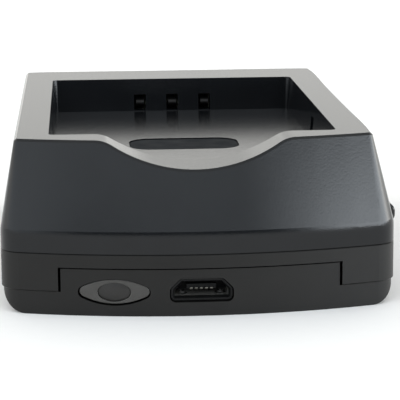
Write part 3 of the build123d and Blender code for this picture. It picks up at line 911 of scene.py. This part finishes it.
@dataclass
class ReleaseButton(Assembly):
    """The sprung button in the right wall that lets the cradle go.

    Attributes:
        thick: Thickness of the leaf spring.
        slack: How much narrower the leaf is than its solid.
        pressed: Share of the leaf's height that is left with the button pressed; not used.
        rows: Rows of points along the leaf.
    """

    thick: float = 0.2
    slack: float = 0.04
    pressed: float = 0.49
    rows: int = 49

    def dress(self, nodes: Nodes) -> None:
        """Dresses the button and the plain spring solid."""
        BUTTON_PLASTIC.dress(nodes["release_button"])
        SPRING_STEEL.dress(nodes["release_spring"])

    def build(self) -> None:
        """Builds the leaf spring: its bow rises as a squared cosine, so that its feet lie flat."""
        middle, size = span("release_spring")
        foot = middle[0] - size[0] / 2
        along = np.linspace(-1, 1, self.rows)
        x = foot + self.thick / 2 + (size[0] - self.thick) * np.cos(along * np.pi / 2) ** 2
        y = middle[1] + along * (size[1] - self.slack) / 2
        path = np.stack([x, y, np.full_like(along, middle[2])], axis=-1)
        leaf = skin("button_leaf", strip(path, (0.0, 0.0, 1.0), size[2] - self.slack, self.thick))
        SPRING_STEEL.dress(leaf)
        seat(leaf, "spring_steel", "release_spring")
        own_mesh(leaf)


@dataclass
class Base(Assembly):
    """The two-piece base with its two screws."""

    def dress(self, nodes: Nodes) -> None:
        """Dresses both halves of the case and the screws."""
        CASE_PLASTIC.dress(nodes["upper_case"], nodes["lower_case"])
        SCREW_STEEL.dress(nodes["case_screws"])


@dataclass
class StatusWindow(Assembly):
    """The smoked oval window in the lower case's front, its core darkened as painted shade, and the
    lamp behind.

    Attributes:
        ring: The outer oval.
        nose: Radius of the core's end arcs.
        ring_gap: How far the ring is inside its opening.
        core_gap: How far the core is inside the ring.
        lean: How far the ring sits off the middle of its opening, on X and on Z.
        bow: Radius of the bowed front.
        bow_middle: Where that arc's middle is on Y.
        ring_inset: How far the ring's face is inside the front's outermost face.
        core_inset: The same for the core's face.
        inner_round: Width of the ring's inner round, as a share of the ring, and its depth.
        outer_round: The same for its outer round.
        crown: How far the ring's crown stands proud.
        crown_reach: Where the crown's rows start and end, as shares of the ring.
        dome: How far the core's dome stands proud.
        back: How far the ring and the core run straight back.
        columns: Points round the window.
        rows: Rows of points over a round, over the crown and over the dome.
    """

    ring: Oval = Oval(9.0, 3.3, 0.8)
    nose: float = 0.84
    ring_gap: float = 0.10
    core_gap: float = 0.04
    lean: tuple[float, float] = (0.05, 0.08)
    bow: float = 78.0
    bow_middle: float = 42.0
    ring_inset: float = 0.37
    core_inset: float = 0.61
    inner_round: tuple[float, float] = (0.03, 0.06)
    outer_round: tuple[float, float] = (0.07, 0.10)
    crown: float = 0.02
    crown_reach: tuple[float, float] = (0.08, 0.88)
    dome: float = 0.16
    back: float = 4.0
    columns: int = 96
    rows: tuple[int, int, int] = (6, 7, 12)

    def carry(
        self, inner: np.ndarray, outer: np.ndarray, profile: np.ndarray, inset: float
    ) -> np.ndarray:
        """Carries a profile round the window.

        Each profile point lies a share of the way from the inner oval to the outer one, and sinks
        straight back from the bowed face: the arc's own height at that x.

        Args:
            inner: The inner oval's (x, z) points.
            outer: The outer oval's (x, z) points.
            profile: Two rows: the share of each profile point, and how far it sinks.
            inset: How far the bowed face is inside the front's outermost face.

        Returns:
            The grid of points.
        """
        share, sink = profile[0][:, None, None], profile[1][:, None]
        flat = inner[None] * (1 - share) + outer[None] * share
        middle, _ = span("light_pipe")
        bezel, depth = span("led_bezel")
        x = flat[..., 0] + middle[0]
        face = self.bow_middle - np.sqrt((self.bow - inset) ** 2 - x ** 2)
        y = np.minimum(face + sink, bezel[1] + depth[1] / 2)
        return np.stack([x, y, flat[..., 1] + middle[2]], axis=-1)

    def dress(self, nodes: Nodes) -> None:
        """Dresses the lamp and the window's plain solids.

        Args:
            nodes: The solids by name.
        """
        LAMP_WHITE.dress(nodes["status_led"])
        WINDOW_GREY.dress(nodes["led_bezel"])
        SHADED_CORE_SMOKE.dress(nodes["light_pipe"])

    def build(self) -> None:
        """Builds the ring and the core inside it.

        The ring's crown is half a sine wave over its width, with a quarter ellipse round each
        edge. The core's dome falls off as the share of its radius squared.
        """
        angle = wrap(self.columns)
        round_rows, crown_rows, dome_rows = self.rows
        edge = np.linspace(0, np.pi / 2, round_rows)
        wide, deep = self.inner_round
        inside = np.stack([wide - wide * np.sin(edge), deep - deep * np.cos(edge)])[:, ::-1]
        wide, deep = self.outer_round
        outside = np.stack([1 - wide + wide * np.sin(edge), deep - deep * np.cos(edge)])
        middle = np.linspace(*self.crown_reach, crown_rows)
        crown = np.stack([middle, -self.crown * np.sin(np.pi * middle)])
        rear = np.array([[1.0, 0.0], [self.back, self.back]])
        profile = np.concatenate([inside, crown, outside, rear], axis=1)
        _, pipe = span("light_pipe")
        hub = Oval(pipe[0], pipe[2], self.nose)
        inner = hub.points(angle, self.core_gap)
        outer = self.ring.points(angle, -self.ring_gap) + np.array(self.lean)
        ring = skin("window_ring", self.carry(inner, outer, profile, self.ring_inset), ring=True)
        WINDOW_GREY.dress(ring)
        seat(ring, "window_grey", "led_bezel")

        share = np.sin(np.linspace(0, np.pi / 2, dome_rows))
        dome = np.stack([share, self.dome * (share ** 2 - 1)])
        profile = np.concatenate([dome, rear], axis=1)
        outer = hub.points(angle)
        core = skin("window_core", self.carry(np.zeros_like(outer), outer, profile, self.core_inset))
        SHADED_CORE_SMOKE.dress(core)
        seat(core, "core_smoke", "light_pipe")


@dataclass
class Socket(Assembly):
    """The power socket: its drawn shell, moulded insert, curled contact tips and latch dimples.

    Attributes:
        count: How many contacts there are.
        width: Width of a contact.
        thick: Thickness of a contact.
        curl: Radius of the curled tips.
        sweep: How far the tips curl up, in degrees.
        floor: Height of the shell's inner floor.
        dimple_x: Distance of each dimple from the middle.
        dimple_y: Where the dimples are on Y.
        dimple_radius: Radius of the crest of a dimple's ring.
        dimple_height: Height of that crest.
        dimple_bell: Width of the bell across the ring, in crest radii.
        dimple_reach: Where a dimple ends, in crest radii.
        dimple_root: How far it goes into the floor.
        columns: Points round a dimple.
        rows: Rows along a contact's run, round its curl, over its blunt tip and across a dimple.
    """

    count: int = 5
    width: float = 0.42
    thick: float = 0.11
    curl: float = 0.20
    sweep: float = 105.0
    floor: float = 2.40
    dimple_x: float = 2.45
    dimple_y: float = -33.2
    dimple_radius: float = 0.38
    dimple_height: float = 0.34
    dimple_bell: float = 0.38
    dimple_reach: float = 1.9
    dimple_root: float = 0.02
    columns: int = 40
    rows: tuple[int, int, int, int] = (6, 14, 6, 18)

    def dress(self, nodes: Nodes) -> None:
        """Dresses the shell, the insert and the plain contact solids.

        Args:
            nodes: The solids by name.
        """
        SOCKET_METAL.dress(nodes["usb_shell"])
        SOCKET_BLACK.dress(nodes["usb_insert"])
        SOCKET_TIP.dress(nodes["usb_contacts"])

    def tips(self) -> bpy.types.Object:
        """Makes the contacts: straight under the tongue, then round an arc up before its edge.

        Returns:
            All contacts as one object.
        """
        middle, size = span("usb_contacts")
        level = middle[2]
        front, rear = middle[1] - size[1] / 2, middle[1] + size[1] / 2
        run_rows, curl_rows, tip_rows, _ = self.rows
        turn = np.radians(np.linspace(0, self.sweep, curl_rows))
        run = np.linspace(rear, front, run_rows)[:-1]
        y = np.concatenate([run, front - self.curl * np.sin(turn)])
        z = np.concatenate([np.full_like(run, level), level + self.curl * (1 - np.cos(turn))])
        path = np.stack([np.zeros_like(y), y, z], axis=-1)
        one = strip(path, (1.0, 0.0, 0.0), self.width, self.thick, blunt=tip_rows)
        reach = (size[0] - self.width) / 2
        steps = np.linspace(middle[0] - reach, middle[0] + reach, self.count)
        return skin("socket_tips", *(one + np.array([step, 0.0, 0.0]) for step in steps))

    def dimples(self) -> bpy.types.Object:
        """Makes both dimples: rings whose height over the floor is a bell about the crest's radius.

        Returns:
            Both dimples as one object.
        """
        turn = wrap(self.columns)
        reach = np.linspace(0, self.dimple_reach, self.rows[-1])
        bell = np.exp(-((reach - 1.0) / self.dimple_bell) ** 2)
        root = self.floor - self.dimple_root
        radius = np.concatenate([reach, [self.dimple_reach, 0.0]]) * self.dimple_radius
        level = np.concatenate([self.floor + self.dimple_height * bell, [root, root]])
        x, y = radius[:, None] * np.cos(turn), radius[:, None] * np.sin(turn) + self.dimple_y
        one = np.stack([x, y, np.broadcast_to(level[:, None], x.shape)], axis=-1)
        shift = np.array([self.dimple_x, 0.0, 0.0])
        return skin("latch_dimples", one - shift, one + shift)

    def build(self) -> None:
        """Builds the tips and the dimples and sets them in the shell."""
        tips = self.tips()
        SOCKET_TIP.dress(tips)
        seat(tips, "contact_gold", "usb_contacts")
        dimples = self.dimples()
        SHADED_LATCH_METAL.dress(dimples)
        seat(dimples, "socket_metal")


@dataclass
class Electronics(Assembly):
    """The main board with its parts, and the link up to the cradle's board."""

    def dress(self, nodes: Nodes) -> None:
        """Dresses the board, each part on it and the link.

        Args:
            nodes: The solids by name.
        """
        BOARD_GREEN.dress(nodes["main_board"])
        FERRITE.dress(nodes["inductor"])
        CAPACITOR_CAN.dress(nodes["bulk_capacitors"])
        CONTROLLER_EPOXY.dress(nodes["charge_controller"])
        LOGIC_EPOXY.dress(nodes["microcontroller"])
        SWITCH_EPOXY.dress(nodes["switch_transistor"])
        DIODE_EPOXY.dress(nodes["rectifier_diode"])
        PASSIVES.dress(nodes["chip_passives"])
        NATURAL_NYLON.dress(nodes["link_block"])
        LINK_GOLD.dress(nodes["link_pins"])


def towards(azimuth: float, elevation: float) -> Vector:
    """Returns a unit vector by azimuth, from the front towards the right, and elevation in degrees."""
    az, el = math.radians(azimuth), math.radians(elevation)
    return Vector((math.sin(az) * math.cos(el), -math.cos(az) * math.cos(el), math.sin(el)))


@dataclass(frozen=True)
class SoftLight:
    """A soft round light in the sky.

    Attributes:
        azimuth: Where its middle is, from the front towards the right, in degrees.
        elevation: How high its middle is, in degrees.
        outer: Angle off the middle where it ends, in degrees.
        inner: Angle off the middle where it is full, in degrees.
        gain: Its full strength.
    """

    azimuth: float
    elevation: float
    outer: float
    inner: float
    gain: float

    def strength(self, sheet: NodeSheet) -> Output:
        """Adds the light to a sky.

        Args:
            sheet: The sky's sheet.

        Returns:
            Its strength in each direction: an S-shaped rise between the two angles' cosines.
        """
        way = sheet.add("TexCoord").outputs["Generated"]
        pair = {0: way, 1: towards(self.azimuth, self.elevation)}
        facing = sheet.add("VectorMath", pair, operation="DOT_PRODUCT").outputs["Value"]
        ends = (math.cos(math.radians(angle)) for angle in (self.outer, self.inner))
        return sheet.ramp(facing, *ends, 0.0, self.gain)


BACK_LIGHT = SoftLight(180, 14, 62, 8, 0.66)
FILL_LIGHT = SoftLight(-10, 30, 45, 12, 0.78)
LEFT_LIGHT = SoftLight(-80, 12, 60, 20, 1.05)
TOP_LIGHT = SoftLight(0, 90, 72, 25, 0.15)
KEY_LIGHT = SoftLight(65, 12, 52, 18, 8.0)
SIDE_LIGHT = SoftLight(118, 8, 38, 14, 2.4)


@dataclass
class Studio:
    """Floor, sky of light and the camera. Heights and depths in the sky are Z and Y of a direction.

    Attributes:
        eye: The camera's place.
        yaw: How far it turns from +Y towards +X, in degrees.
        pitch: How far it looks down, in degrees.
        roll: How far it leans, in degrees.
        lens: Focal length.
        sensor: Width of the frame that the focal length is for.
        clip: Nearest and furthest distance that it sees, in metres.
        floor_radius: Radius of the floor.
        floor_level: Height of the floor, just under the charger.
        floor_colour: The floor's pale colour.
        floor_swing: How far that colour wanders, as a share.
        fibre: Size of the floor's fibres.
        rows: Rows of the floor's rings.
        columns: Points round a ring.
        sky: Strength of the even sky.
        lights: The soft lights on it.
        low_lights: The strip lights at the right, cut off above low_end.
        low_end: Height where the low lights end, and height where they are full.
        front: Depth where the front starts to go dark, and where it is dark.
        horizon: Height where the dark front horizon ends, and height where it is dark.
        warm: Tint of the light behind.
        cool: Tint of the light in front.
        turn: Depth where the warm tint ends, and depth where the cool one starts.
    """

    eye: Point = (-14.93, -254.12, 60.01)
    yaw: float = 3.863
    pitch: float = 11.653
    roll: float = -0.388
    lens: float = 162.0
    sensor: float = 36.0
    clip: tuple[float, float] = (0.01, 20.0)
    floor_radius: float = 1600.0
    floor_level: float = -0.02
    floor_colour: Colour = (0.93, 0.908, 0.887)
    floor_swing: float = 0.005
    fibre: float = 1.5
    rows: int = 16
    columns: int = 64
    sky: float = 0.72
    lights: tuple[SoftLight, ...] = (BACK_LIGHT, FILL_LIGHT, LEFT_LIGHT, TOP_LIGHT)
    low_lights: tuple[SoftLight, ...] = (KEY_LIGHT, SIDE_LIGHT)
    low_end: tuple[float, float] = (0.275, 0.19)
    front: tuple[float, float] = (-0.82, -0.94)
    horizon: tuple[float, float] = (0.19, 0.13)
    warm: Colour = (1.0, 0.998, 0.965)
    cool: Colour = (0.93, 1.0, 1.06)
    turn: tuple[float, float] = (0.3, -0.3)

    def camera(self) -> None:
        """Sets the camera: forward from yaw and pitch, then rolled about it."""
        yaw, pitch, roll = (math.radians(angle) for angle in (self.yaw, self.pitch, self.roll))
        level = math.cos(pitch)
        ahead = Vector((math.sin(yaw) * level, math.cos(yaw) * level, -math.sin(pitch)))
        right = Vector((math.cos(yaw), -math.sin(yaw), 0.0))
        up = right.cross(ahead)
        side = right * math.cos(roll) + up * math.sin(roll)
        top = up * math.cos(roll) - right * math.sin(roll)
        lens = bpy.data.cameras.new("studio_camera")
        lens.lens = self.lens
        lens.sensor_width = self.sensor
        lens.clip_start, lens.clip_end = self.clip
        thing = bpy.data.objects.new("studio_camera", lens)
        turn = Matrix((side, top, -ahead)).transposed().to_4x4()
        thing.matrix_world = Matrix.Translation(Vector(self.eye) * MM) @ turn
        bpy.context.scene.collection.objects.link(thing)
        bpy.context.scene.camera = thing

    def floor(self) -> None:
        """Lays the floor: rings about the middle whose radius grows with the square of the row."""
        turn = wrap(self.columns)
        reach = self.floor_radius * np.linspace(0, 1, self.rows)[:, None] ** 2
        x, y = reach * np.cos(turn), reach * np.sin(turn)
        thing = skin("studio_floor", np.stack([x, y, np.full_like(x, self.floor_level)], axis=-1))
        made = bpy.data.materials.new("studio_paper")
        made.use_nodes = True
        sheet = NodeSheet(made.node_tree)
        fibre = sheet.spread(sheet.noise(self.fibre, detail=3.0), 0.0, 1.0)
        swings = (1 - self.floor_swing, 1 + self.floor_swing)
        tone = sheet.blend(fibre, *(shade(self.floor_colour, swing) for swing in swings))
        shader = sheet.add("BsdfDiffuse", {"Color": tone})
        sheet.add("OutputMaterial", {"Surface": shader.outputs[0]})
        thing.data.materials.append(made)

    def light(self) -> None:
        """Lights the set: an even sky, soft lights, low strip lights and a dark front horizon."""
        world = bpy.data.worlds.new("studio_sky")
        bpy.context.scene.world = world
        world.use_nodes = True
        sheet = NodeSheet(world.node_tree)
        way = sheet.add("TexCoord").outputs["Generated"]
        height, depth = sheet.along(Axis.Z, way), sheet.along(Axis.Y, way)
        strips = sheet.total(*(light.strength(sheet) for light in self.low_lights))
        low = sheet.sums("MULTIPLY", strips, sheet.ramp(height, *self.low_end))
        lit = sheet.total(*(light.strength(sheet) for light in self.lights), low, self.sky)
        along = sheet.ramp(sheet.sums("ABSOLUTE", height), *self.horizon)
        dark = sheet.sums("MULTIPLY", sheet.ramp(depth, *self.front), along)
        kept = sheet.sums("SUBTRACT", 1.0, dark)
        tint = sheet.blend(sheet.ramp(depth, *self.turn), self.warm, self.cool)
        glow = sheet.add("Background", {"Color": tint, "Strength": sheet.sums("MULTIPLY", lit, kept)})
        sheet.add("OutputWorld", {"Surface": glow.outputs[0]})

    def build(self) -> None:
        """Sets the camera, the floor and the light."""
        self.camera()
        self.floor()
        self.light()
        bpy.context.scene.view_settings.view_transform = "Standard"
        LOG.info("studio set")


def main() -> None:
    """Loads the frame, sets up the studio and builds the sub-assemblies in order."""
    logging.basicConfig(level=logging.INFO, format="%(name)s: %(message)s")
    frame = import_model()
    Studio().build()
    for assembly in (Cradle(), ReleaseButton(), Base(), StatusWindow(), Socket(), Electronics()):
        assembly.dress(frame["nodes"])
        assembly.build()
        LOG.info("%s done", type(assembly).__name__)
    LOG.info("boxes written")


if __name__ == "__main__":
    main()
